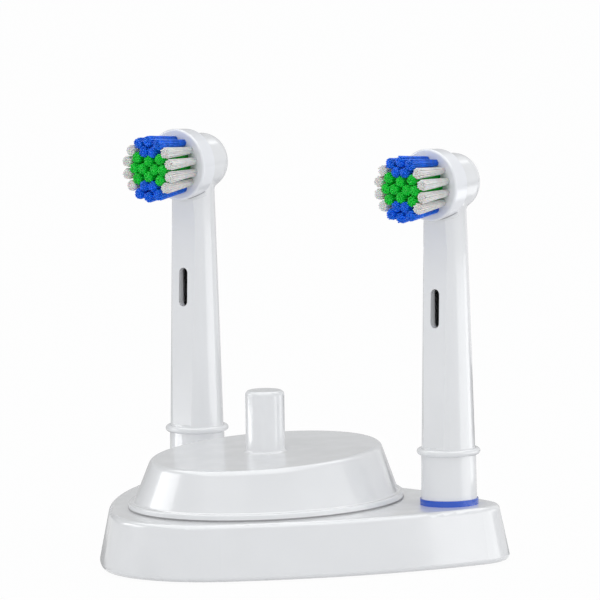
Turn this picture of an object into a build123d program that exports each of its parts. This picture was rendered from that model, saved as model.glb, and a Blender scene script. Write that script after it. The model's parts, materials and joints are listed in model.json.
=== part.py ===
from build123d import *
from math import atan2, cos, degrees, hypot, radians, sin, sqrt
import os

os.makedirs("parts", exist_ok=True)

# Toothbrush charger in a stand that also holds two brush heads.
# Millimetres, +Z up, the stand's rounded front towards -Y, origin on the floor at the footprint's centre.

# Stand: a rounded triangle, drawn on the floor from the post's axis
front_reach = 43.7
front_radius = 24.6
corner_x = 37.6
corner_back = 20.7
corner_radius = 11.8
side_radius = 118.0
back_radius = 133.0
stand_top = 12.8
stand_draft = 2.5
stand_wall = 1.8
stand_top_round = 1.3
stand_foot_round = 1.0
plate_gap = 0.15
plate_thickness = 1.6

# Feet and plate screws
foot_height = 0.4
foot_pocket = 0.6
foot_radius = 4.0
foot_back_x = 27.0
foot_back = 25.0
foot_front_x = 12.0
foot_front = 29.0
boss_radius = 2.6
front_boss_reach = 35.0
screw_radius = 1.1
screw_head_radius = 2.2
screw_length = 7.0
screw_cone = 1.1

# Cord inlet bush in the back wall
inlet_height = 7.2
inlet_radius = 3.0
inlet_bore = 1.9
inlet_length = 4.6
inlet_proud = 0.5

# Charger: an oval puck, longest front to back
flange_x = 27.9
flange_y = 34.1
flange_height = 1.5
flange_round = 0.4
ledge = 1.2
puck_top_x = 23.1
puck_top_y = 28.9
puck_height = 11.5
puck_slope = 2.2
shoulder_round = 1.5
body_inset = 5.0
body_depth = 8.4
well_gap = 0.3
charger_wall = 1.6
post_radius = 4.35
post_top = 37.9
post_round = 1.0
post_root = 0.5
post_wall = 1.5

# Charger insides
lid_thickness = 1.4
lid_gap = 0.2
standoff_height = 2.0
standoff_radius = 2.2
standoff_y = 18.0
board_x = 15.0
board_y = 22.0
board_corner = 8.0
board_thickness = 1.6
core_radius = 2.4
core_gap = 0.05
bobbin_tube = 0.9
bobbin_flange = 1.0
bobbin_radius = 9.0
bobbin_height = 10.0
winding_radius = 8.2
capacitor_radius = 3.2
capacitor_height = 9.0
rectifier_size = 6.0
rectifier_height = 2.6
component_x = 9.0
component_y = 13.0
resistor_radius = 1.3
resistor_length = 7.0
board_screw_radius = 1.0
board_screw_head = 1.9
board_screw_head_height = 1.2

# Pegs and brush heads, placed from the post's axis
head_x = 36.1
head_back = 19.9
peg_radius = 3.5
peg_height = 8.5
peg_round = 0.8

# Colour ring, skirt, collar and stem of a head
ring_height = 1.35
ring_radius = 6.5
ring_wall = 1.5
skirt_radius = 6.2
skirt_top_radius = 6.05
collar_height = 11.9
collar_bead = 0.75
collar_radius = 6.3
stem_radius = 5.95
stem_top_radius = 4.6
socket_radius = 4.0
socket_height = 26.0
shaft_room = 2.9

# Flat face with the drain slot, on the bristle side of the stem; above a crease it leans forward
flat_low = 13.0
flat_low_reach = 5.3
crease_height = 57.3
crease_reach = 3.6
flat_top_reach = 4.0
slot_height = 44.0
slot_width = 2.4
slot_length = 8.7

# Domed drum that carries the bristle disc
drum_height = 71.7
drum_front = 1.3
drum_radius = 6.3
drum_back = 7.25
drum_back_round = 4.0
drum_blend = 1.6
hub_room = 4.9
hub_room_back = 3.2

# Bristle disc, its hub and its pivot pin
disc_radius = 8.1
disc_back_radius = 7.7
disc_front = 6.0
disc_thickness = 4.4
disc_round = 0.5
disc_gap = 0.4
hub_radius = 3.9
hub_back = 2.6
pivot_radius = 0.8
pivot_gap = 0.05
pivot_front = 4.6
pivot_back = 5.6

# Crank drive
shaft_radius = 2.2
shaft_gap = 0.05
shaft_low = 13.5
shaft_clear = 0.9
spindle_radius = 1.3
spindle_depth = 12.0
crank_offset = 1.5
crank_radius = 0.6
crank_shank = 0.4
crank_reach = 3.0
crank_slot_gap = 0.45
crank_slot_end = 1.75
upper_bush_low = 50.0
upper_bush_length = 8.0
lower_bush_clear = 2.0
lower_bush_length = 7.0

# Tufts: three rings of holes, each tuft's colour in turn, and the tufts' form
outer_ring = 5.7
middle_ring = 3.65
inner_ring = 1.6
outer_colours = 2 * ["white", "white", "blue", "blue", "blue", "white", "white"]
middle_colours = 2 * ["green", "green", "blue", "blue", "green"]
inner_colours = 4 * ["green"]
tuft_root_radius = 0.66
tuft_tip_radius = 1.05
tuft_length = 10.3
tuft_lean = 3.7


# Places worked out from the driving sizes

front_centre_y = front_radius - front_reach
back_centre_y = corner_back - sqrt((back_radius - corner_radius) ** 2 - corner_x**2)
back_reach = back_centre_y + back_radius
post_y = (front_reach - back_reach) / 2

puck_bottom = stand_top + flange_height
puck_top = stand_top + puck_height
body_x = flange_x - body_inset
body_y = flange_y - body_inset
body_bottom = stand_top - body_depth
cavity_x = body_x - charger_wall
cavity_y = body_y - charger_wall
plate_bottom = foot_height
plate_top = plate_bottom + plate_thickness
lid_top = body_bottom + lid_thickness
board_bottom = lid_top + standoff_height
board_top = board_bottom + board_thickness
core_height = post_top - post_wall - board_top
shaft_high = drum_height - disc_radius - shaft_clear
crank_height = drum_height - crank_reach
lower_bush_low = socket_height - lower_bush_clear - lower_bush_length
disc_back = disc_front - disc_thickness


# Alignment of a solid that stands on its place
standing = (Align.CENTER, Align.CENTER, Align.MIN)


def side_centre():
    """Centre of the large arc that touches the front arc and the right corner arc from outside."""
    span_x = corner_x
    span_y = corner_back - front_centre_y
    span = hypot(span_x, span_y)
    front_throw = side_radius - front_radius
    corner_throw = side_radius - corner_radius
    along = (front_throw**2 - corner_throw**2 + span**2) / (2 * span)
    across = sqrt(front_throw**2 - along**2)
    x = (along * span_x - across * span_y) / span
    y = front_centre_y + (along * span_y + across * span_x) / span
    return x, y


side_x, side_y = side_centre()
front_turn = degrees(atan2(front_centre_y - side_y, -side_x))
side_turn = degrees(atan2(corner_back - side_y, corner_x - side_x))
corner_turn = degrees(atan2(corner_back - back_centre_y, corner_x))


def stand_face(inset, height):
    """The stand's outline, drawn inside its floor outline by the inset, at a height."""
    front = (0, post_y + front_centre_y)
    back = (0, post_y + back_centre_y)
    corner_y = post_y + corner_back
    side_sweep = side_turn - front_turn
    corner_sweep = corner_turn - side_turn
    with BuildSketch(Plane.XY.offset(height)) as face:
        with BuildLine(Plane.XY.offset(height)):
            CenterArc(front, front_radius - inset, 180 - front_turn, 180 + 2 * front_turn)
            CenterArc((side_x, post_y + side_y), side_radius - inset, front_turn, side_sweep)
            CenterArc((corner_x, corner_y), corner_radius - inset, side_turn, corner_sweep)
            CenterArc(back, back_radius - inset, corner_turn, 180 - 2 * corner_turn)
            CenterArc((-corner_x, corner_y), corner_radius - inset, 180 - corner_turn, corner_sweep)
            CenterArc((-side_x, post_y + side_y), side_radius - inset, 180 - side_turn, side_sweep)
        make_face()
    return face.sketch


def oval_face(radius_x, radius_y, height, slope=0.0):
    """An oval about the post's axis; a slope lifts its back."""
    upward = (0, -sin(radians(slope)), cos(radians(slope)))
    with BuildSketch(Plane(origin=(0, post_y, height), x_dir=(1, 0, 0), z_dir=upward)) as face:
        Ellipse(radius_x, radius_y)
    return face.sketch


# Fastener and foot places on the stand's underside
boss_places = [
    (head_x, post_y + head_back),
    (-head_x, post_y + head_back),
    (0, post_y - front_boss_reach),
]
foot_places = [
    (foot_back_x, post_y + foot_back),
    (-foot_back_x, post_y + foot_back),
    (foot_front_x, post_y - foot_front),
    (-foot_front_x, post_y - foot_front),
]
peg_places = [(head_x, post_y + head_back), (-head_x, post_y + head_back)]
inlet_wall_inset = stand_draft * (inlet_height - foot_height) / (stand_top - foot_height)
inlet_plane = Plane(
    origin=(0, post_y + back_reach - inlet_wall_inset + inlet_proud, inlet_height),
    x_dir=(1, 0, 0),
    z_dir=(0, 1, 0),
)

# Stand base: drafted shell with an oval well for the charger, bosses and pegs
with BuildPart() as stand_base:
    loft([stand_face(0, foot_height), stand_face(stand_draft, stand_top)], ruled=True)
    fillet(stand_base.edges().group_by(Axis.Z)[-1], stand_top_round)
    fillet(stand_base.edges().group_by(Axis.Z)[0], stand_foot_round)
    loft(
        [stand_face(stand_wall, foot_height), stand_face(stand_draft + stand_wall, stand_top - stand_wall)],
        ruled=True,
        mode=Mode.SUBTRACT,
    )
    with BuildSketch(Plane.XY.offset(plate_top)):
        with Locations(boss_places):
            Circle(boss_radius)
    extrude(amount=stand_top - stand_wall - plate_top)
    well = oval_face(body_x + well_gap, body_y + well_gap, foot_height)
    extrude(well, amount=stand_top, mode=Mode.SUBTRACT)
    with BuildSketch(Plane.XY.offset(stand_top)):
        with Locations(peg_places):
            Circle(peg_radius)
    extrude(amount=peg_height)
    fillet(stand_base.edges().group_by(Axis.Z)[-1], peg_round)
    with BuildSketch(Plane.XY.offset(plate_top)):
        with Locations(boss_places):
            Circle(screw_radius)
    extrude(amount=screw_length, mode=Mode.SUBTRACT)
    with BuildSketch(inlet_plane):
        Circle(inlet_radius)
    extrude(amount=-inlet_length, mode=Mode.SUBTRACT)
stand_base.part.label = "stand_base"
export_step(stand_base.part, "parts/stand_base.step")

# Bottom plate that closes the stand, with pockets for the feet and sunk screw holes
with BuildPart() as stand_bottom_plate:
    plate_inset = stand_wall + plate_gap + stand_draft * plate_thickness / stand_top
    extrude(stand_face(plate_inset, plate_bottom), amount=plate_thickness)
    with BuildSketch(Plane.XY.offset(plate_bottom)):
        with Locations(foot_places):
            Circle(foot_radius)
    extrude(amount=foot_pocket, mode=Mode.SUBTRACT)
    with Locations(*[Pos(x, y, plate_bottom) for x, y in boss_places]):
        Cylinder(screw_radius, plate_thickness, align=standing, mode=Mode.SUBTRACT)
        Cone(screw_head_radius, screw_radius, screw_cone, align=standing, mode=Mode.SUBTRACT)
stand_bottom_plate.part.label = "stand_bottom_plate"
export_step(stand_bottom_plate.part, "parts/stand_bottom_plate.step")

# Screws of the bottom plate, sunk flush
with BuildPart() as plate_screws:
    with Locations(*[Pos(x, y, plate_bottom) for x, y in boss_places]):
        Cylinder(screw_radius, screw_length, align=standing)
        Cone(screw_head_radius, screw_radius, screw_cone, align=standing)
plate_screws.part.label = "plate_screws"
export_step(plate_screws.part, "parts/plate_screws.step")

# Rubber feet, half sunk in their pockets
with BuildPart() as rubber_feet:
    with BuildSketch(Plane.XY):
        with Locations(foot_places):
            Circle(foot_radius)
    extrude(amount=plate_bottom + foot_pocket)
rubber_feet.part.label = "rubber_feet"
export_step(rubber_feet.part, "parts/rubber_feet.step")

# Bush that a supply cord would pass, pressed into the back wall
with BuildPart() as cord_inlet:
    with BuildSketch(inlet_plane):
        Circle(inlet_radius)
        Circle(inlet_bore, mode=Mode.SUBTRACT)
    extrude(amount=-inlet_length)
cord_inlet.part.label = "cord_inlet"
export_step(cord_inlet.part, "parts/cord_inlet.step")

# Charger housing: flange, sloped wall, slanted top, post and the body that drops into the well
with BuildPart() as charger_housing:
    loft(
        [
            oval_face(flange_x - ledge, flange_y - ledge, puck_bottom),
            oval_face(puck_top_x, puck_top_y, puck_top, puck_slope),
        ]
    )
    fillet(charger_housing.edges().group_by(Axis.Z)[-1], shoulder_round)
    with BuildSketch(Plane.XY.offset(stand_top)):
        with Locations((0, post_y)):
            Ellipse(flange_x, flange_y)
    extrude(amount=flange_height)
    fillet(charger_housing.faces().filter_by(Axis.Z).sort_by(Axis.Z)[-1].edges(), flange_round)
    extrude(oval_face(body_x, body_y, stand_top), amount=-body_depth)
    with Locations(Pos(0, post_y, puck_bottom)):
        Cylinder(post_radius, post_top - puck_bottom, align=standing)
    fillet(charger_housing.edges().group_by(Axis.Z)[-1], post_round)
    post_foot = charger_housing.edges().filter_by(GeomType.LINE, reverse=True)
    fillet(post_foot.sort_by_distance((0, post_y, puck_top))[0], post_root)
    loft(
        [
            oval_face(cavity_x, cavity_y, body_bottom),
            oval_face(cavity_x, cavity_y, puck_top - charger_wall, puck_slope),
        ],
        mode=Mode.SUBTRACT,
    )
    with Locations(Pos(0, post_y, board_top)):
        Cylinder(post_radius - post_wall, core_height, align=standing, mode=Mode.SUBTRACT)
    with BuildSketch(Plane(origin=(0, post_y, inlet_height), x_dir=(1, 0, 0), z_dir=(0, 1, 0))):
        Circle(inlet_bore)
    extrude(amount=body_y + body_inset, mode=Mode.SUBTRACT)
charger_housing.part.label = "charger_housing"
export_step(charger_housing.part, "parts/charger_housing.step")

# Lid under the charger, with the stand-offs of the circuit board
standoff_places = [(0, post_y + standoff_y), (0, post_y - standoff_y)]
with BuildPart() as charger_lid:
    extrude(oval_face(cavity_x - lid_gap, cavity_y - lid_gap, body_bottom), amount=lid_thickness)
    with BuildSketch(Plane.XY.offset(lid_top)):
        with Locations(standoff_places):
            Circle(standoff_radius)
    extrude(amount=standoff_height)
    with BuildSketch(Plane.XY.offset(lid_top)):
        with Locations(standoff_places):
            Circle(board_screw_radius)
    extrude(amount=standoff_height, mode=Mode.SUBTRACT)
charger_lid.part.label = "charger_lid"
export_step(charger_lid.part, "parts/charger_lid.step")

# Circuit board on its two stand-offs
with BuildPart() as circuit_board:
    with BuildSketch(Plane.XY.offset(board_bottom)):
        with Locations((0, post_y)):
            RectangleRounded(2 * board_x, 2 * board_y, board_corner)
        with Locations(standoff_places):
            Circle(board_screw_radius, mode=Mode.SUBTRACT)
    extrude(amount=board_thickness)
circuit_board.part.label = "circuit_board"
export_step(circuit_board.part, "parts/circuit_board.step")

# Screws that hold the board
with BuildPart() as board_screws:
    with BuildSketch(Plane.XY.offset(lid_top)):
        with Locations(standoff_places):
            Circle(board_screw_radius)
    extrude(amount=board_top - lid_top)
    with BuildSketch(Plane.XY.offset(board_top)):
        with Locations(standoff_places):
            Circle(board_screw_head)
    extrude(amount=board_screw_head_height)
board_screws.part.label = "board_screws"
export_step(board_screws.part, "parts/board_screws.step")

# Coil bobbin: a tube between two flanges
bobbin_bore = core_radius + core_gap
bobbin_tube_radius = bobbin_bore + bobbin_tube
with BuildPart() as coil_bobbin:
    with BuildSketch(Plane.XY.offset(board_top)):
        with Locations((0, post_y)):
            Circle(bobbin_radius)
    extrude(amount=bobbin_flange)
    with BuildSketch(Plane.XY.offset(board_top + bobbin_height - bobbin_flange)):
        with Locations((0, post_y)):
            Circle(bobbin_radius)
    extrude(amount=bobbin_flange)
    with BuildSketch(Plane.XY.offset(board_top)):
        with Locations((0, post_y)):
            Circle(bobbin_tube_radius)
    extrude(amount=bobbin_height)
    with BuildSketch(Plane.XY.offset(board_top)):
        with Locations((0, post_y)):
            Circle(bobbin_bore)
    extrude(amount=bobbin_height, mode=Mode.SUBTRACT)
coil_bobbin.part.label = "coil_bobbin"
export_step(coil_bobbin.part, "parts/coil_bobbin.step")

# Primary winding, one body of wire between the flanges
with BuildPart() as primary_winding:
    with BuildSketch(Plane.XY.offset(board_top + bobbin_flange)):
        with Locations((0, post_y)):
            Circle(winding_radius)
            Circle(bobbin_tube_radius, mode=Mode.SUBTRACT)
    extrude(amount=bobbin_height - 2 * bobbin_flange)
primary_winding.part.label = "primary_winding"
export_step(primary_winding.part, "parts/primary_winding.step")

# Ferrite core that carries the field up the post
with BuildPart() as ferrite_core:
    with BuildSketch(Plane.XY.offset(board_top)):
        with Locations((0, post_y)):
            Circle(core_radius)
    extrude(amount=core_height)
ferrite_core.part.label = "ferrite_core"
export_step(ferrite_core.part, "parts/ferrite_core.step")

# Components beside the coil
with BuildPart() as filter_capacitor:
    with BuildSketch(Plane.XY.offset(board_top)):
        with Locations((component_x, post_y + component_y)):
            Circle(capacitor_radius)
    extrude(amount=capacitor_height)
    fillet(filter_capacitor.edges().group_by(Axis.Z)[-1], capacitor_radius / 8)
filter_capacitor.part.label = "filter_capacitor"
export_step(filter_capacitor.part, "parts/filter_capacitor.step")

with BuildPart() as rectifier_block:
    with BuildSketch(Plane.XY.offset(board_top)):
        with Locations((-component_x, post_y + component_y)):
            Rectangle(rectifier_size, rectifier_size)
    extrude(amount=rectifier_height)
rectifier_block.part.label = "rectifier_block"
export_step(rectifier_block.part, "parts/rectifier_block.step")

resistor_place = (-component_x, post_y - component_y, board_top + resistor_radius)
with BuildPart() as dropper_resistor:
    with BuildSketch(Plane(origin=resistor_place, z_dir=(1, 0, 0))):
        Circle(resistor_radius)
    extrude(amount=resistor_length / 2, both=True)
dropper_resistor.part.label = "dropper_resistor"
export_step(dropper_resistor.part, "parts/dropper_resistor.step")

# Brush head, modelled about its own axis with its bristles towards -Y and its foot at height 0.
drum_plane = Plane(origin=(0, 0, drum_height), x_dir=(1, 0, 0), z_dir=(0, -1, 0))

# Colour ring under the skirt
with BuildPart() as colour_ring:
    with BuildSketch(Plane.XY):
        Circle(ring_radius)
        Circle(ring_radius - ring_wall, mode=Mode.SUBTRACT)
    extrude(amount=ring_height)

# Neck: skirt, collar bead, tapered stem and drum, moulded as one. The drum starts as a full barrel, so that
# its blend into the stem runs all round, and the room for the disc then takes its front away.
with BuildPart() as neck:
    with BuildSketch(Plane.XZ):
        with BuildLine():
            Polyline(
                (0, ring_height),
                (skirt_radius, ring_height),
                (skirt_top_radius, collar_height),
                (stem_radius, collar_height),
                (stem_top_radius, drum_height),
                (0, drum_height),
                close=True,
            )
        make_face()
        with Locations((collar_radius, collar_height)):
            Circle(collar_bead)
    revolve(axis=Axis.Z)
    with BuildSketch(Plane.XY.offset(drum_height)) as drum_profile:
        with BuildLine():
            Polyline(
                (0, -drum_back),
                (drum_radius, -drum_back),
                (drum_radius, drum_back),
                (0, drum_back),
                close=True,
            )
        make_face()
        fillet(drum_profile.vertices().group_by(Axis.Y)[-1].sort_by(Axis.X)[-1], drum_back_round)
    revolve(axis=Axis((0, 0, drum_height), (0, 1, 0)))
    fillet(neck.edges().filter_by(GeomType.BSPLINE), drum_blend)
    with BuildSketch(drum_plane.offset(drum_front)):
        Circle(disc_radius + disc_gap)
    extrude(amount=drum_back, mode=Mode.SUBTRACT)
    with BuildSketch(Plane.YZ):
        with BuildLine():
            Polyline(
                (-flat_low_reach, flat_low),
                (-crease_reach, crease_height),
                (-flat_top_reach, drum_height),
                (-stem_radius, drum_height),
                (-stem_radius, flat_low),
                close=True,
            )
        make_face()
    extrude(amount=stem_radius, both=True, mode=Mode.SUBTRACT)
    with BuildSketch(Plane.XY.offset(ring_height)):
        Circle(socket_radius)
    extrude(amount=socket_height - ring_height, mode=Mode.SUBTRACT)
    with BuildSketch(Plane.XY.offset(socket_height)):
        Circle(shaft_room)
    extrude(amount=drum_height - socket_height, mode=Mode.SUBTRACT)
    with BuildSketch(drum_plane.offset(-hub_room_back)):
        Circle(hub_room)
    extrude(amount=hub_room_back + drum_front, mode=Mode.SUBTRACT)
    with BuildSketch(drum_plane):
        Circle(pivot_radius)
    extrude(amount=-pivot_back, mode=Mode.SUBTRACT)
    with BuildSketch(Plane.XZ):
        with Locations((0, slot_height)):
            SlotOverall(slot_length, slot_width, rotation=90)
    extrude(amount=stem_radius, mode=Mode.SUBTRACT)

# Bushes that guide the drive shaft, pressed into the neck
with BuildPart() as shaft_bushes:
    with BuildSketch(Plane.XY.offset(upper_bush_low)):
        Circle(shaft_room)
        Circle(shaft_radius + shaft_gap, mode=Mode.SUBTRACT)
    extrude(amount=upper_bush_length)
    with BuildSketch(Plane.XY.offset(lower_bush_low)):
        Circle(socket_radius)
        Circle(shaft_radius + shaft_gap, mode=Mode.SUBTRACT)
    extrude(amount=lower_bush_length)

# Drive shaft with a spindle socket at its foot and a ball-ended crank at its top
with BuildPart() as drive_shaft:
    with BuildSketch(Plane.XY.offset(shaft_low)):
        Circle(shaft_radius)
    extrude(amount=shaft_high - shaft_low)
    with BuildSketch(Plane.XY.offset(shaft_low)):
        Circle(spindle_radius)
    extrude(amount=spindle_depth, mode=Mode.SUBTRACT)
    with BuildSketch(Plane.XY.offset(shaft_high)):
        with Locations((0, crank_offset)):
            Circle(crank_shank)
    extrude(amount=crank_height - shaft_high)
    with Locations((0, crank_offset, crank_height)):
        Sphere(crank_radius)

# Steel pivot pin of the disc, pressed into the drum
with BuildPart() as pivot_pin:
    with BuildSketch(drum_plane.offset(-pivot_back)):
        Circle(pivot_radius)
    extrude(amount=pivot_back + pivot_front)

# Bristle disc with its hub, pivot bore and the slot that the crank works in
crank_slot_width = 2 * (crank_radius + crank_slot_gap)
with BuildPart() as bristle_disc:
    with Locations(drum_plane.offset(disc_back)):
        Cone(disc_back_radius, disc_radius, disc_thickness, align=standing)
    fillet(bristle_disc.edges().group_by(Axis.Y)[0], disc_round)
    with BuildSketch(drum_plane.offset(-hub_back)):
        Circle(hub_radius)
    extrude(amount=hub_back + disc_back)
    with BuildSketch(drum_plane.offset(-hub_back)):
        Circle(pivot_radius + pivot_gap)
    extrude(amount=hub_back + pivot_front + pivot_gap, mode=Mode.SUBTRACT)
    with BuildSketch(drum_plane.offset(-hub_back)):
        with Locations((0, -(crank_slot_end + hub_radius) / 2)):
            Rectangle(crank_slot_width, hub_radius - crank_slot_end)
    extrude(amount=hub_back + disc_back, mode=Mode.SUBTRACT)


def ring_places(radius, colours, first):
    """Each tuft's colour and its place on the disc's face, around one ring."""
    places = []
    lean = tuft_lean * radius / outer_ring
    tilt = sin(radians(lean))
    for index, colour in enumerate(colours):
        angle = radians((index + first) * 360 / len(colours))
        across = cos(angle)
        up = sin(angle)
        plane = Plane(
            origin=(radius * across, -disc_front - tuft_root_radius * tilt, drum_height + radius * up),
            z_dir=(tilt * across, -cos(radians(lean)), tilt * up),
        )
        places.append((colour, plane))
    return places


tuft_places = ring_places(outer_ring, outer_colours, 1 / 2)
tuft_places += ring_places(middle_ring, middle_colours, 0)
tuft_places += ring_places(inner_ring, inner_colours, 0)


def tuft_group(planes):
    """One colour's tufts, each a slightly flared bundle standing on the disc."""
    with BuildPart() as tufts:
        with Locations(*[plane.location for plane in planes]):
            Cone(tuft_root_radius, tuft_tip_radius, tuft_length, align=standing)
    return tufts.part


head_pieces = {
    "colour_ring": colour_ring.part,
    "neck": neck.part,
    "shaft_bushes": shaft_bushes.part,
    "drive_shaft": drive_shaft.part,
    "pivot_pin": pivot_pin.part,
    "bristle_disc": bristle_disc.part,
}
for tuft_colour in ("white", "blue", "green"):
    colour_planes = [plane for colour, plane in tuft_places if colour == tuft_colour]
    head_pieces[f"{tuft_colour}_tufts"] = tuft_group(colour_planes)

# Both heads stand on their pegs with their bristles to the front
for side, side_sign in (("left", -1), ("right", 1)):
    seat = Location((side_sign * head_x, post_y + head_back, stand_top))
    for piece_name, piece in head_pieces.items():
        with BuildPart() as placed:
            with Locations(seat):
                add(piece)
        placed.part.label = f"{side}_{piece_name}"
        export_step(placed.part, f"parts/{side}_{piece_name}.step")
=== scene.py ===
# %% [markdown]
# A toothbrush charger in its stand, with two brush heads.
# The solids come from the CAD frame, already at their real size and place. This lesson gives them
# their finish, and builds what CAD leaves plain: the filaments of the bristles, a thin lip under
# each disc and a dark strip of painted shade under the charger. Everything is in metres, with +Z up.

# %% Load the frame
import json
import random
from math import asin, cos, pi, radians, sin, sqrt

import bmesh
import bpy
from mathutils import Matrix, Vector


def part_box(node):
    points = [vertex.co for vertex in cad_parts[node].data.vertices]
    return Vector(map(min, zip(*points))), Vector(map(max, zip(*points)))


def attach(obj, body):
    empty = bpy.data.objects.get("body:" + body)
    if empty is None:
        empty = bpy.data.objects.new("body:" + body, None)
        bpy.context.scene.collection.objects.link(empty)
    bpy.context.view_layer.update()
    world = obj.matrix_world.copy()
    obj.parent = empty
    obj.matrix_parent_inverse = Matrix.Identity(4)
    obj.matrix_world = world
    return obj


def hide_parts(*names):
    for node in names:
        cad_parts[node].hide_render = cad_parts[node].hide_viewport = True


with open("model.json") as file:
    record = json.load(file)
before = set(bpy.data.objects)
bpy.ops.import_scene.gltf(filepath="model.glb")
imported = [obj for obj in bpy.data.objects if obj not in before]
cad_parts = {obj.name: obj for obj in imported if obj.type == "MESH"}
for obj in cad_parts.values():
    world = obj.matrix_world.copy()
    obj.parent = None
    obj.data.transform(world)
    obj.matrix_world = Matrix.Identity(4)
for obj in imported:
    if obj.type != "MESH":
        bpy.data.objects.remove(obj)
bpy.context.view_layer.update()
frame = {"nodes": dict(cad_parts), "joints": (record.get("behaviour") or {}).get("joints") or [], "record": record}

MM = 0.001

scene = bpy.context.scene
scene.view_settings.view_transform = "Standard"
nodes = frame["nodes"]
mounts = {mount["name"]: mount for mount in frame["record"]["mounts"]}
joints = {joint["name"]: joint for joint in frame["joints"]}

# %% [markdown]
# The photograph looks at the stand from its right, a little from above, and is rolled by less than
# a degree. The directions towards the camera and along the picture come first, because the camera
# and the lamps are both placed by them.

# %% Axes of the picture
AZIMUTH = radians(39.4)
ELEVATION = radians(8.0)
ROLL = radians(0.9)

post_foot = Vector(mounts["handle_post"]["pos_m"])
post_foot.z = 0
towards = Vector((sin(AZIMUTH) * cos(ELEVATION), -cos(AZIMUTH) * cos(ELEVATION), sin(ELEVATION)))
level_towards = Vector((towards.x, towards.y, 0)).normalized()
level_right = Vector((cos(AZIMUTH), sin(AZIMUTH), 0))
level_up = level_right.cross(-towards)
image_right = level_right * cos(ROLL) - level_up * sin(ROLL)
image_up = level_right * sin(ROLL) + level_up * cos(ROLL)
print("foot of the post at", [round(v, 4) for v in post_foot])

# %% [markdown]
# The camera stands far away with a long lens, as the photograph's did. It could be placed by eye.
# Here the foot of the post is put on the pixel where the photograph shows it, so the rest follows
# from a distance and a scale.

# %% Camera
IMAGE_SIZE = 600
DISTANCE = 4.0
PIXELS_PER_METRE = 4500
POST_FOOT_PIXEL = (267.3, 559.0)
SENSOR = 36.0
NEAREST_SEEN = 0.01

across = (IMAGE_SIZE / 2 - POST_FOOT_PIXEL[0]) / PIXELS_PER_METRE
above = (POST_FOOT_PIXEL[1] - IMAGE_SIZE / 2) / PIXELS_PER_METRE
aim = post_foot + image_right * across + image_up * above
eye = post_foot + towards * DISTANCE

camera = bpy.data.objects.new("camera", bpy.data.cameras.new("camera"))
scene.collection.objects.link(camera)
camera.data.sensor_fit = "HORIZONTAL"
camera.data.sensor_width = SENSOR
camera.data.lens = PIXELS_PER_METRE * DISTANCE / IMAGE_SIZE * SENSOR
camera.data.clip_start = NEAREST_SEEN
backward = (eye - aim).normalized()
side = image_up.cross(backward).normalized()
turn = Matrix((side, backward.cross(side), backward)).transposed().to_4x4()
camera.matrix_world = Matrix.Translation(eye) @ turn
scene.camera = camera
print("camera lens", round(camera.data.lens, 1), "mm at", [round(v, 3) for v in eye])

# %% [markdown]
# A material here is a Principled shader whose colour and gloss are broken up by noise, because no
# moulding is one flat colour. A picture could do that too, but noise needs no file and its grain
# keeps its size on a piece of any shape. The helpers make the shader, the noise, the ramp that
# turns noise into two near shades, and a fine grain.

# %% Material helpers
RAMP_LOW = 0.35
RAMP_HIGH = 0.65
GRAIN_STRENGTH = 0.25


def new_shader(name):
    """A fresh material and its Principled node."""
    material = bpy.data.materials.new(name)
    material.use_nodes = True
    return material, material.node_tree.nodes["Principled BSDF"]


def object_noise(material, scale, detail=3.0):
    """Noise in the object's own metres, so its grain keeps its size."""
    tree = material.node_tree
    place = tree.nodes.new("ShaderNodeTexCoord")
    noise = tree.nodes.new("ShaderNodeTexNoise")
    noise.inputs["Scale"].default_value = scale
    noise.inputs["Detail"].default_value = detail
    tree.links.new(place.outputs["Object"], noise.inputs["Vector"])
    return noise


def near_shades(colour, spread):
    """A darker and a lighter shade of a colour."""
    darker = [value * (1 - spread) for value in colour]
    lighter = [min(1.0, value * (1 + spread)) for value in colour]
    return darker, lighter


def two_shades(material, noise, low, high, socket):
    """A ramp from one shade to another, driven by noise and linked to a socket."""
    tree = material.node_tree
    ramp = tree.nodes.new("ShaderNodeValToRGB")
    first, last = ramp.color_ramp.elements
    first.position = RAMP_LOW
    last.position = RAMP_HIGH
    first.color = (*low, 1)
    last.color = (*high, 1)
    tree.links.new(noise.outputs["Fac"], ramp.inputs["Fac"])
    tree.links.new(ramp.outputs["Color"], socket)


def grain_bump(material, shader, scale, depth):
    """A very fine moulded grain."""
    tree = material.node_tree
    noise = object_noise(material, scale, detail=2.0)
    bump = tree.nodes.new("ShaderNodeBump")
    bump.inputs["Strength"].default_value = GRAIN_STRENGTH
    bump.inputs["Distance"].default_value = depth
    tree.links.new(noise.outputs["Fac"], bump.inputs["Height"])
    tree.links.new(bump.outputs["Normal"], shader.inputs["Normal"])


print("material helpers are ready")

# %% [markdown]
# Most pieces of the real object come out of a mould. So one helper makes any moulded finish: its
# colour varies a little, its gloss is slightly uneven, its skin has a faint grain, and a clear coat
# can lie on top. A plain colour with one roughness would be quicker, but it looks made up.

# %% A moulded finish
SHADE_SCALE = 60
GLOSS_SCALE = 180
GLOSS_SPREAD = 0.15
FINE_GRAIN = 2500
FINE_DEPTH = 0.01 * MM
COAT_ROUGHNESS = 0.06


def moulded(name, colour, roughness, spread, coat=0.0, grain=FINE_GRAIN, depth=FINE_DEPTH):
    """Injection-moulded plastic: two near shades, uneven gloss and a faint grain."""
    material, shader = new_shader(name)
    shades = near_shades(colour, spread)
    two_shades(material, object_noise(material, SHADE_SCALE), *shades, shader.inputs["Base Color"])
    gloss = near_shades([roughness] * 3, GLOSS_SPREAD)
    two_shades(material, object_noise(material, GLOSS_SCALE), *gloss, shader.inputs["Roughness"])
    shader.inputs["Coat Weight"].default_value = coat
    shader.inputs["Coat Roughness"].default_value = COAT_ROUGHNESS
    grain_bump(material, shader, grain, depth)
    return material


print("fine grain of", FINE_GRAIN, "a metre")

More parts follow.
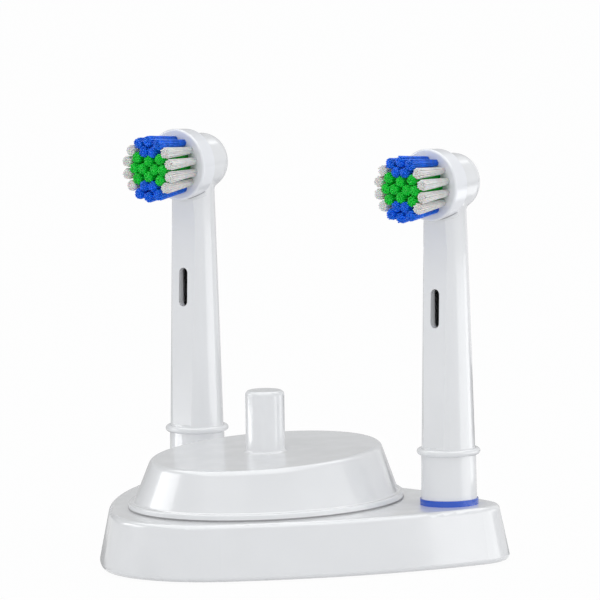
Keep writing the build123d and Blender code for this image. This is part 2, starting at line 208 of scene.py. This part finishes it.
# %% [markdown]
# Nearly all that shows is glossy white plastic. It isn't pure white: a slight cold cast, the uneven
# gloss and the clear coat let the lamps draw soft bands on it. The bristle discs are a cooler
# white, and each head has a blue ring, made to tell one user's head from another's. The inner
# pieces get plain moulded finishes of their own. Rubber and ferrite get a deeper grain.

# %% Plastic and rubber
RUBBER_GRAIN = 4000
FERRITE_GRAIN = 6000

white_plastic = moulded("white_gloss_plastic", (0.80, 0.805, 0.815), 0.2, 0.012, coat=0.35)
disc_plastic = moulded("pale_disc_plastic", (0.85, 0.86, 0.89), 0.2, 0.02, coat=0.25)
blue_plastic = moulded("blue_ring_plastic", (0.016, 0.09, 0.55), 0.25, 0.06, coat=0.2)
grey_plastic = moulded("grey_inner_plastic", (0.6, 0.6, 0.61), 0.4, 0.05)
board_green = moulded("board_lacquer", (0.03, 0.16, 0.06), 0.35, 0.15)
black_case = moulded("component_black", (0.02, 0.02, 0.022), 0.45, 0.2)
foot_rubber = moulded(
    "dark_foot_rubber", (0.05, 0.05, 0.052), 0.75, 0.2, grain=RUBBER_GRAIN, depth=0.04 * MM
)
inlet_rubber = moulded(
    "grey_inlet_rubber", (0.55, 0.55, 0.56), 0.6, 0.08, grain=RUBBER_GRAIN, depth=0.03 * MM
)
dark_ferrite = moulded(
    "dark_ferrite", (0.04, 0.04, 0.042), 0.6, 0.25, grain=FERRITE_GRAIN, depth=0.03 * MM
)
print("nine moulded finishes, from", white_plastic.name, "to", dark_ferrite.name)

# %% [markdown]
# Screws and pins are plain steel, and the coil is enamelled copper: the moulded finish does for
# both once it is metallic. Each drive shaft is painted dark below, as painted shade that darkens the
# drain slot, and pale at the end that carries the crank, as painted light that lifts the shaded gap
# under the disc. The shaft could be cut in two, but it is one solid in CAD, so here the material
# changes from dark to pale at a height.

# %% Metal and the shaft's painted shade and light
METAL_GRAIN = 5000
CRANK_END = 9 * MM


def metal(name, colour, roughness):
    """Plain metal with uneven polish."""
    material = moulded(name, colour, roughness, 0.08, grain=METAL_GRAIN)
    material.node_tree.nodes["Principled BSDF"].inputs["Metallic"].default_value = 1.0
    return material


def painted_shade_and_light_finish(name, dark, pale, change_height):
    """A rod painted dark below a height, as shade in the drain slot, and pale above it, as light in the gap under
    the disc.
    """
    material, shader = new_shader(name)
    tree = material.node_tree
    place = tree.nodes.new("ShaderNodeTexCoord")
    split = tree.nodes.new("ShaderNodeSeparateXYZ")
    is_above = tree.nodes.new("ShaderNodeMath")
    is_above.operation = "GREATER_THAN"
    is_above.inputs[1].default_value = change_height
    mix = tree.nodes.new("ShaderNodeMixRGB")
    mix.inputs["Color1"].default_value = (*dark, 1)
    mix.inputs["Color2"].default_value = (*pale, 1)
    tree.links.new(place.outputs["Object"], split.inputs["Vector"])
    tree.links.new(split.outputs["Z"], is_above.inputs[0])
    tree.links.new(is_above.outputs[0], mix.inputs["Fac"])
    tree.links.new(mix.outputs["Color"], shader.inputs["Base Color"])
    shader.inputs["Roughness"].default_value = 0.4
    grain_bump(material, shader, FINE_GRAIN, FINE_DEPTH)
    return material


shaft_top = max(vertex.co.z for vertex in nodes["left_drive_shaft"].data.vertices)
crank_foot = shaft_top - CRANK_END
# The dark lower part is painted shade in the drain slot; the pale end is painted light in the gap under the disc.
shaft_shade_and_light = painted_shade_and_light_finish("shaft_painted_shade_and_light", (0.008, 0.008, 0.009), (0.7, 0.7, 0.71), crank_foot)
steel = metal("plain_steel", (0.62, 0.62, 0.63), 0.3)
copper = metal("enamelled_copper", (0.72, 0.33, 0.14), 0.32)
print("the shafts turn pale", round(crank_foot / MM, 1), "mm above the floor")

# %% [markdown]
# The record names a material slot for each node. Each finish could be put on node by node, but then
# a node that is added later would stay bare. So the slots lead: a node takes the finish of its slot.
# The tufts have none here, because the next steps replace them.

# %% Put the finishes on
finishes = {
    "white_plastic": white_plastic,
    "clear_white_plastic": disc_plastic,
    "blue_plastic": blue_plastic,
    "grey_plastic": grey_plastic,
    "dark_plastic": shaft_shade_and_light,
    "foot_rubber": foot_rubber,
    "inlet_rubber": inlet_rubber,
    "board": board_green,
    "component_black": black_case,
    "ferrite": dark_ferrite,
    "steel": steel,
    "copper_wire": copper,
}
slot_of = {part["node"]: part["material_slot"] for part in frame["record"]["subparts"]}
dressed = [name for name in nodes if slot_of[name] in finishes]
for name in dressed:
    nodes[name].data.materials.clear()
    nodes[name].data.materials.append(finishes[slot_of[name]])
print(len(finishes), "finishes on", len(dressed), "nodes")

# %% [markdown]
# A tuft is some dozens of nylon filaments folded over in one hole of the disc. A cone with a striped
# texture would do from far off, but up close the tips are a cluster of round ends. The CAD tufts say
# where each bundle stands, how it leans and how it flares, so they are read first: one group of
# points for each tuft, then the middle and the radius of its root and of its tip.

# %% Read the tufts from the frame
WELD = 0.001 * MM
SORT_DIGITS = 5
END_DEPTH = 0.2 * MM


def lowest_corner(group):
    """A group's lowest height and place across, which fix the order of the tufts."""
    lowest = min(point.z for point in group)
    leftmost = min(point.x for point in group)
    return round(lowest, SORT_DIGITS), round(leftmost, SORT_DIGITS)


def islands(mesh):
    """Groups of vertex places, one for each separate solid in a mesh."""
    work = bmesh.new()
    work.from_mesh(mesh)
    bmesh.ops.remove_doubles(work, verts=work.verts, dist=WELD)
    left = set(work.verts)
    groups = []
    while left:
        front = [left.pop()]
        group = []
        while front:
            vertex = front.pop()
            group.append(vertex.co.copy())
            for edge in vertex.link_edges:
                other = edge.other_vert(vertex)
                if other in left:
                    left.remove(other)
                    front.append(other)
        groups.append(group)
    work.free()
    groups.sort(key=lowest_corner)
    return groups


def tuft_ends(group, facing):
    """Centre and radius of a tuft's root and of its tip."""
    depth = [point.dot(facing) for point in group]
    ends = []
    for limit in (min(depth), max(depth)):
        end = [point for point, value in zip(group, depth) if abs(value - limit) < END_DEPTH]
        low = Vector([min(point[axis] for point in end) for axis in range(3)])
        high = Vector([max(point[axis] for point in end) for axis in range(3)])
        centre = (low + high) / 2
        radius = max((point - centre).length for point in end)
        ends.append((centre, radius))
    return ends


print("tufts in one colour on one head:", len(islands(nodes["left_blue_tufts"].data)))

# %% [markdown]
# One filament is a thin rod with its tip ground round, so that it is kind to gums. A curve with a
# round bevel would make it too, but thousands of curves are slow. Three rings of six points and an
# end point are enough at this size. The rod is drawn thicker at the tip, so that a few dozen of
# them look as full as a real tuft.

# %% One filament
FILAMENT_RADIUS = 0.115 * MM
FILAMENT_SIDES = 6
TIP_SWELL = 1.45
SHOULDER_DEPTH = 0.35
SHOULDER_WIDTH = 0.72


def add_filament(work, root, tip, radius):
    """A six-sided rod with a domed end."""
    along = (tip - root).normalized()
    first = along.orthogonal().normalized()
    second = along.cross(first)
    profile = (
        (root, 1.0),
        (tip - along * radius, TIP_SWELL),
        (tip - along * radius * SHOULDER_DEPTH, SHOULDER_WIDTH * TIP_SWELL),
    )
    rings = []
    for centre, share in profile:
        ring = []
        for index in range(FILAMENT_SIDES):
            angle = index * 2 * pi / FILAMENT_SIDES
            spoke = first * cos(angle) + second * sin(angle)
            ring.append(work.verts.new(centre + spoke * radius * share))
        rings.append(ring)
    for low, high in zip(rings, rings[1:]):
        for index in range(FILAMENT_SIDES):
            after = (index + 1) % FILAMENT_SIDES
            work.faces.new((low[index], low[after], high[after], high[index]))
    end = work.verts.new(tip)
    for index in range(FILAMENT_SIDES):
        work.faces.new((rings[-1][index], rings[-1][(index + 1) % FILAMENT_SIDES], end))
    work.faces.new(tuple(reversed(rings[0])))


print("filament", round(2 * FILAMENT_RADIUS / MM, 2), "mm thick")

# %% [markdown]
# A bundle is packed as the seeds of a sunflower are: each filament a golden turn on from the last,
# and further out. Filaments set at random would leave holes. A little chance is added only at the
# tips, which stand loose and not quite level, and the bundle's end is slightly domed. The spread is
# a bit more than the CAD cone's, because the photograph's tufts nearly touch.

# %% Bundle the filaments
FILAMENTS = 48
GOLDEN_TURN = pi * (3 - sqrt(5))
ROOT_SPREAD = 1.25
TIP_SPREAD = 1.27
TIP_SCATTER = 0.07 * MM
LENGTH_SCATTER = 0.32 * MM
TIP_DOME = 0.4 * MM
DOME_POWER = 3


def add_tuft(work, ends, draw):
    """One bundle, packed like a sunflower and loosened a little at the tip."""
    (root, root_radius), (tip, tip_radius) = ends
    root_reach = root_radius * ROOT_SPREAD - FILAMENT_RADIUS
    tip_reach = tip_radius * TIP_SPREAD - FILAMENT_RADIUS * TIP_SWELL
    along = (tip - root).normalized()
    first = along.orthogonal().normalized()
    second = along.cross(first)
    for index in range(FILAMENTS):
        share = sqrt((index + 0.5) / FILAMENTS)
        angle = index * GOLDEN_TURN
        spoke = first * cos(angle) + second * sin(angle)
        loose = first * draw.uniform(-1, 1) + second * draw.uniform(-1, 1)
        low = root + spoke * share * root_reach
        high = tip + spoke * share * tip_reach + loose * TIP_SCATTER
        high += along * (draw.uniform(-1, 0) * LENGTH_SCATTER - share**DOME_POWER * TIP_DOME)
        add_filament(work, low, high, FILAMENT_RADIUS)


print(FILAMENTS, "filaments in a tuft")

# %% [markdown]
# Nylon is slightly clear, so light goes a little way into it and comes out softer. Glass-like
# transmission would be truer but noisy in so many thin rods. Some subsurface light and a soft shine
# give the same look. The colours are the photograph's: blue above and below, green in the middle
# and white at the sides.

# %% Nylon
NYLON_SCALE = 900


def nylon(name, colour, spread):
    """Slightly clear nylon: two shades, a soft shine and some light let in under the skin."""
    material, shader = new_shader(name)
    shades = near_shades(colour, spread)
    two_shades(material, object_noise(material, NYLON_SCALE), *shades, shader.inputs["Base Color"])
    shader.inputs["Roughness"].default_value = 0.4
    shader.inputs["Specular IOR Level"].default_value = 0.3
    shader.inputs["Subsurface Weight"].default_value = 0.25
    shader.inputs["Subsurface Scale"].default_value = 0.4 * MM
    return material


bristle_finish = {
    "blue": nylon("blue_nylon", (0.003, 0.15, 0.80), 0.2),
    "green": nylon("green_nylon", (0.004, 0.62, 0.045), 0.15),
    "white": nylon("white_nylon", (0.80, 0.785, 0.77), 0.06),
}
print("nylon in", ", ".join(bristle_finish))

# %% [markdown]
# All tufts of one colour on one head become one object, which turns with that head's disc. One
# object for each tuft would be tidy to look at, but it would fill the scene with small pieces. Each
# object draws its own chance numbers from its own name, so every run gives the same bristles.

# %% Bristles of both heads
HEAD_SIDES = ("left", "right")


def mesh_piece(name, work, material):
    """An object made from finished mesh work."""
    mesh = bpy.data.meshes.new(name)
    work.to_mesh(mesh)
    work.free()
    mesh.materials.append(material)
    piece = bpy.data.objects.new(name, mesh)
    scene.collection.objects.link(piece)
    return piece


def brush_tufts(side, colour):
    """All tufts of one colour on one head, riding on its disc."""
    node = f"{side}_{colour}_tufts"
    facing = Vector(joints[f"{side}_disc_swing"]["axis"]).normalized()
    draw = random.Random(node)
    work = bmesh.new()
    groups = islands(nodes[node].data)
    for group in groups:
        add_tuft(work, tuft_ends(group, facing), draw)
    piece = mesh_piece(f"{node}_bristles", work, bristle_finish[colour])
    piece.data.shade_smooth()
    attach(piece, f"{side}_disc")
    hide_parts(node)
    print(piece.name, len(groups), "tufts,", len(piece.data.polygons), "faces")


for head_side in HEAD_SIDES:
    for colour_name in bristle_finish:
        brush_tufts(head_side, colour_name)

# %% [markdown]
# Under each disc the neck ends in a thin lip that keeps paste out of the drive. Without it the
# disc's working gap shows as a black slit. The lip could be cut from a pipe. Here it is drawn as a
# sliver of a ring, in steps from front to back, each as wide as the round neck is at that depth.

# %% One step of a lip
LIP_BACK_RADIUS = 7.65 * MM
LIP_FLARE = 0.086
LIP_OUTER = 8.55 * MM
LIP_DEPTHS = [depth * MM for depth in (3.72, 3.2, 2.6, 2.0, 1.45)]
NECK_RADIUS = 4.65 * MM
NECK_BLEND = 0.28
LIP_STEPS = 12


def middle(node):
    """Centre of a node's box."""
    low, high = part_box(node)
    return (Vector(low) + Vector(high)) / 2


def lip_loop(work, centre, neck_y, depth):
    """One step of the lip: its inner edge from left to right, then its outer edge."""
    neck_radius = NECK_RADIUS + NECK_BLEND * (LIP_DEPTHS[0] - depth)
    half_angle = asin(sqrt(neck_radius**2 - depth**2) / LIP_OUTER)
    edges = []
    for radius in (LIP_BACK_RADIUS + LIP_FLARE * depth, LIP_OUTER):
        edge = []
        for step in range(LIP_STEPS + 1):
            angle = -pi / 2 + half_angle * (2 * step / LIP_STEPS - 1)
            x = centre.x + radius * cos(angle)
            z = centre.z + radius * sin(angle)
            edge.append(work.verts.new((x, neck_y - depth, z)))
        edges.append(edge)
    return edges


print(len(LIP_DEPTHS), "steps in a lip")

# %% [markdown]
# The steps are joined by faces: a front and a back, the inner and outer skins, and the two ends. It
# makes a closed solid, so it looks right from any side. The lip stays with the neck when the disc
# turns.

# %% Lips under the discs
def neck_lip(side):
    """The lip of one neck, close under its disc."""
    centre = middle(f"{side}_bristle_disc")
    neck_y = middle(f"{side}_colour_ring").y
    work = bmesh.new()
    loops = [lip_loop(work, centre, neck_y, depth) for depth in LIP_DEPTHS]
    for inner, outer in (loops[0], loops[-1]):
        for step in range(LIP_STEPS):
            work.faces.new((inner[step], inner[step + 1], outer[step + 1], outer[step]))
    for front, back in zip(loops, loops[1:]):
        for near, far in zip(front, back):
            for step in range(LIP_STEPS):
                work.faces.new((near[step], near[step + 1], far[step + 1], far[step]))
        for end in (0, LIP_STEPS):
            work.faces.new((front[0][end], front[1][end], back[1][end], back[0][end]))
    bmesh.ops.recalc_face_normals(work, faces=work.faces)
    piece = mesh_piece(f"{side}_neck_lip", work, white_plastic)
    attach(piece, "root")
    print(piece.name, len(piece.data.polygons), "faces")


for head_side in HEAD_SIDES:
    neck_lip(head_side)

# %% [markdown]
# Where the charger's flange rests on the stand, a thin dark line of shade runs under its edge. A material
# could paint it, but then it would have no edge of its own. Here that shade is painted as a slim strip in a
# dark rubber finish, an oval ring that stands out from under the flange by less than a tenth of a millimetre.

# %% Painted shade strip under the flange
STRIP_LOW = 0.02 * MM
STRIP_HIGH = 0.34 * MM
STRIP_PROUD = 0.07 * MM
STRIP_WIDTH = 0.6 * MM
STRIP_STEPS = 160

flange_low, flange_high = [Vector(corner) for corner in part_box("charger_housing")]
flange_centre = (flange_low + flange_high) / 2
flange_half = (flange_high - flange_low) / 2
stand_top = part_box("left_colour_ring")[0][2]
strip_profile = (
    (STRIP_PROUD, STRIP_LOW),
    (STRIP_PROUD, STRIP_HIGH),
    (STRIP_PROUD - STRIP_WIDTH, STRIP_HIGH),
    (STRIP_PROUD - STRIP_WIDTH, STRIP_LOW),
)
work = bmesh.new()
loops = []
for step in range(STRIP_STEPS):
    angle = step * 2 * pi / STRIP_STEPS
    loop = []
    for outward, height in strip_profile:
        x = flange_centre.x + (flange_half.x + outward) * cos(angle)
        y = flange_centre.y + (flange_half.y + outward) * sin(angle)
        loop.append(work.verts.new((x, y, stand_top + height)))
    loops.append(loop)
for low, high in zip(loops, loops[1:] + loops[:1]):
    for index in range(len(strip_profile)):
        after = (index + 1) % len(strip_profile)
        work.faces.new((low[index], high[index], high[after], low[after]))
bmesh.ops.recalc_face_normals(work, faces=work.faces)
# The strip's dark grey is painted shade: it stands for the shadow line under the flange's edge.
painted_shade_rubber = moulded(
    "painted_shade_rubber", (0.30, 0.30, 0.305), 0.7, 0.1, grain=RUBBER_GRAIN, depth=0.02 * MM
)
strip = mesh_piece("flange_painted_shade_strip", work, painted_shade_rubber)
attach(strip, "root")
print(strip.name, len(strip.data.polygons), "faces")

# %% [markdown]
# The studio has a wide pale floor. It could be lit until it goes white, but that light would spill
# on the object. Instead the floor glows nearly white for the rays that show it: those from the
# camera, in gloss or through glass. The small share that doesn't glow takes the stand's soft shadow.

# %% Floor
FLOOR_SIZE = 12.0
FLOOR_LIFT = 0.96


def seen_rays(tree):
    """A value that is 1 for rays that show a surface: from the camera, in gloss or through glass."""
    path = tree.nodes.new("ShaderNodeLightPath")
    gloss = tree.nodes.new("ShaderNodeMath")
    gloss.operation = "MAXIMUM"
    tree.links.new(path.outputs["Is Camera Ray"], gloss.inputs[0])
    tree.links.new(path.outputs["Is Glossy Ray"], gloss.inputs[1])
    either = tree.nodes.new("ShaderNodeMath")
    either.operation = "MAXIMUM"
    tree.links.new(gloss.outputs[0], either.inputs[0])
    tree.links.new(path.outputs["Is Transmission Ray"], either.inputs[1])
    return either


half = FLOOR_SIZE / 2
floor_corners = [(-half, -half, 0), (half, -half, 0), (half, half, 0), (-half, half, 0)]
floor_mesh = bpy.data.meshes.new("floor")
floor_mesh.from_pydata(floor_corners, [], [(0, 1, 2, 3)])
floor = bpy.data.objects.new("floor", floor_mesh)
scene.collection.objects.link(floor)

floor_paint, floor_shader = new_shader("pale_floor")
floor_shader.inputs["Base Color"].default_value = (0.86, 0.86, 0.865, 1)
floor_shader.inputs["Roughness"].default_value = 0.9
floor_shader.inputs["Specular IOR Level"].default_value = 0.0
tree = floor_paint.node_tree
lift = tree.nodes.new("ShaderNodeEmission")
lift.inputs["Strength"].default_value = 1.0
mix = tree.nodes.new("ShaderNodeMixShader")
share = tree.nodes.new("ShaderNodeMath")
share.operation = "MULTIPLY"
share.inputs[1].default_value = FLOOR_LIFT
tree.links.new(seen_rays(tree).outputs[0], share.inputs[0])
tree.links.new(share.outputs[0], mix.inputs["Fac"])
tree.links.new(floor_shader.outputs["BSDF"], mix.inputs[1])
tree.links.new(lift.outputs["Emission"], mix.inputs[2])
tree.links.new(mix.outputs["Shader"], tree.nodes["Material Output"].inputs["Surface"])
floor_mesh.materials.append(floor_paint)
print("floor", FLOOR_SIZE, "m wide")

# %% [markdown]
# Round the floor stands a white surround, here Blender's world. Where it is seen, it is plain white
# at strength 1. As a lamp it could be even all over, but the photograph's upright walls are brighter
# than its level tops, so it gives most light from the horizon and least from overhead.

# %% Surround
HORIZON_LIGHT = 1.27
ZENITH_LIGHT = 0.55

world = bpy.data.worlds.new("white_surround")
scene.world = world
world.use_nodes = True
tree = world.node_tree
ambient = tree.nodes["Background"]
ambient.inputs["Color"].default_value = (0.97, 0.985, 1.0, 1)
sky = tree.nodes.new("ShaderNodeTexCoord")
split = tree.nodes.new("ShaderNodeSeparateXYZ")
fade = tree.nodes.new("ShaderNodeMapRange")
fade.inputs["To Min"].default_value = HORIZON_LIGHT
fade.inputs["To Max"].default_value = ZENITH_LIGHT
tree.links.new(sky.outputs["Generated"], split.inputs["Vector"])
tree.links.new(split.outputs["Z"], fade.inputs["Value"])
tree.links.new(fade.outputs["Result"], ambient.inputs["Strength"])
shown = tree.nodes.new("ShaderNodeBackground")
shown.inputs["Color"].default_value = (1, 1, 1, 1)
shown.inputs["Strength"].default_value = 1.0
mix = tree.nodes.new("ShaderNodeMixShader")
tree.links.new(seen_rays(tree).outputs[0], mix.inputs["Fac"])
tree.links.new(ambient.outputs["Background"], mix.inputs[1])
tree.links.new(shown.outputs["Background"], mix.inputs[2])
tree.links.new(mix.outputs["Shader"], tree.nodes["World Output"].inputs["Surface"])
print("surround light", HORIZON_LIGHT, "at the horizon and", ZENITH_LIGHT, "overhead")

# %% [markdown]
# The photograph's light is nearly even, so the surround gives most of it. Two wide softboxes, one
# above the front and one on the right, only help it. They could be placed by the stand's own sides.
# Here they go by the picture's: sideways, nearer and up, all from the foot of the post.

# %% Softboxes
LAMP_AIM = 0.04


def stage_place(sideways, nearer, height):
    """A place given by the picture's axes, from the foot of the post."""
    return post_foot + level_right * sideways + level_towards * nearer + Vector((0, 0, height))


def softbox(name, place, width, depth, power):
    """A rectangular lamp aimed at the middle of the object and hidden from the camera."""
    lamp = bpy.data.lights.new(name, "AREA")
    lamp.shape = "RECTANGLE"
    lamp.size = width
    lamp.size_y = depth
    lamp.energy = power
    holder = bpy.data.objects.new(name, lamp)
    scene.collection.objects.link(holder)
    target = post_foot + Vector((0, 0, LAMP_AIM))
    holder.location = place
    holder.rotation_euler = (place - target).to_track_quat("Z", "Y").to_euler()
    holder.visible_camera = False
    print(name, power, "W")


softbox("key_softbox", stage_place(-0.3, 0.9, 1.3), width=1.2, depth=1.0, power=1.6)
softbox("right_softbox", stage_place(1.1, 0.2, 0.5), width=1.0, depth=0.8, power=1.2)

# %% [markdown]
# What draws a glossy white thing is what it mirrors. A studio sets white cards and grey flags round
# it for that. Here they are plain glowing panels that only gloss can see, so they draw bands and
# edges and leave the rest of the light alone. A card stands square to the view, stands along it
# beside the object, or lies level.


# %% Card helpers
def card(name, corners, shade):
    """A glowing card that only gloss can see."""
    mesh = bpy.data.meshes.new(name)
    mesh.from_pydata(corners, [], [(0, 1, 2, 3)])
    panel = bpy.data.objects.new(name, mesh)
    scene.collection.objects.link(panel)
    paint = bpy.data.materials.new(name)
    paint.use_nodes = True
    tree = paint.node_tree
    tree.nodes.remove(tree.nodes["Principled BSDF"])
    glow = tree.nodes.new("ShaderNodeEmission")
    glow.inputs["Strength"].default_value = shade
    tree.links.new(glow.outputs["Emission"], tree.nodes["Material Output"].inputs["Surface"])
    mesh.materials.append(paint)
    panel.visible_camera = False
    panel.visible_diffuse = False
    panel.visible_shadow = False
    print(name, "shade", shade)


def across_card(name, nearer, left, right, low, high, shade):
    """A card that stands square to the view."""
    ends = ((left, low), (right, low), (right, high), (left, high))
    card(name, [stage_place(x, nearer, z) for x, z in ends], shade)


def side_card(name, sideways, front, back, low, high, shade):
    """A card that stands along the view, beside the object."""
    ends = ((front, low), (back, low), (back, high), (front, high))
    card(name, [stage_place(sideways, y, z) for y, z in ends], shade)


def level_card(name, height, left, right, front, back, shade):
    """A card that lies or hangs level."""
    ends = ((left, front), (right, front), (right, back), (left, back))
    card(name, [stage_place(x, y, height) for x, y in ends], shade)


# %% [markdown]
# First the tops and the bright bands. Gloss at a shallow angle shows what is behind, so a grey card
# there keeps the level tops from going white. A bright one overhead draws the glint along rounded
# edges. On the right, one draws the bands on the stems. On the left, a low one draws the line
# on the post, and a far one the bright band on the wall of the charger.

# %% Cards for the tops and the bands
across_card("back_card", nearer=-0.16, left=-0.3, right=0.1, low=0.0, high=0.2, shade=0.55)
level_card("overhead_card", height=0.9, left=-0.8, right=0.8, front=0.8, back=-0.8, shade=3.5)
side_card("right_card", sideways=0.16, front=0.1, back=-0.065, low=0.0, high=0.056, shade=3.0)
side_card("left_card", sideways=-0.17, front=0.03, back=-0.085, low=0.0, high=0.012, shade=7.0)
side_card("left_band_card", sideways=-0.9, front=0.06, back=-0.95, low=0.2, high=0.52, shade=4.5)

# %% [markdown]
# Then the edges. White on white needs a darker outline, as the photograph has at both ends of the
# stand. A painted line would stay when the view moves, so grey cards make it in the gloss. The edge
# and shade cards stand behind and beside the object, the flags and the floor card keep the bright
# cards and the white floor off the ends of the stand, and the line cards draw the thin dark rims.

# %% Cards for the edges
across_card("left_edge_card", nearer=-0.155, left=-0.3, right=-0.06, low=0.0, high=0.06, shade=0.4)
across_card("right_edge_card", nearer=-0.155, left=0.08, right=0.25, low=0.0, high=0.022, shade=0.1)
side_card("left_shade_card", sideways=-0.6, front=-0.05, back=-0.9, low=0.0, high=0.07, shade=0.5)
side_card("right_shade_card", sideways=0.6, front=-0.05, back=-0.9, low=0.0, high=0.05, shade=0.3)
level_card(
    "left_floor_card", height=0.0005, left=-0.3, right=-0.042, front=0.05, back=-0.15, shade=0.72
)
side_card("left_flag_card", sideways=-0.06, front=0.06, back=-0.1, low=0.0, high=0.013, shade=0.78)
side_card("right_flag_card", sideways=0.075, front=0.006, back=-0.1, low=0.0, high=0.014, shade=0.72)
level_card(
    "left_line_card", height=0.001, left=-0.047, right=-0.02, front=0.02, back=-0.15, shade=0.3
)
level_card(
    "right_line_card", height=0.001, left=0.03, right=0.07, front=0.005, back=-0.155, shade=0.25
)
